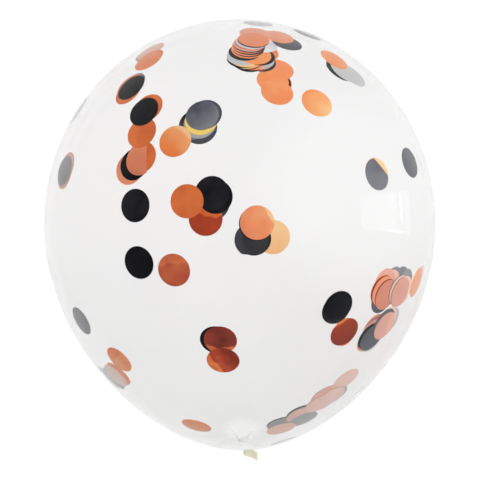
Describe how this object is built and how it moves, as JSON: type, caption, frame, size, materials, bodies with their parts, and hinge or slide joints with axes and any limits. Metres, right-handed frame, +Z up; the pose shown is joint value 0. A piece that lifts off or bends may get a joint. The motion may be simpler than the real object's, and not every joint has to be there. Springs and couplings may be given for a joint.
{
  "type": "confetti balloon",
  "caption": "Round clear latex party balloon with copper-orange and black foil confetti sealed inside, tied off with a knot and lying on its side.",
  "frame": {"origin": "middle of the small flat spot on the underside that the balloon rests on", "axes": "+Z up; +Y from the knot towards the crown, level with the floor while the balloon's own axis rises 30 degrees towards the crown; +X to the right seen from the knot"},
  "size_m": [0.3048, 0.3522, 0.3093],
  "materials": {
    "clear_latex": "clear, glossy, slightly hazy",
    "thick_latex": "unstretched latex, cream, translucent, satin",
    "copper_foil": "metallised film, copper-orange, glossy",
    "black_foil": "metallised film, black, glossy"
  },
  "bodies": {
    "root": {"balloon": "clear_latex"}
  },
  "joints": []
}
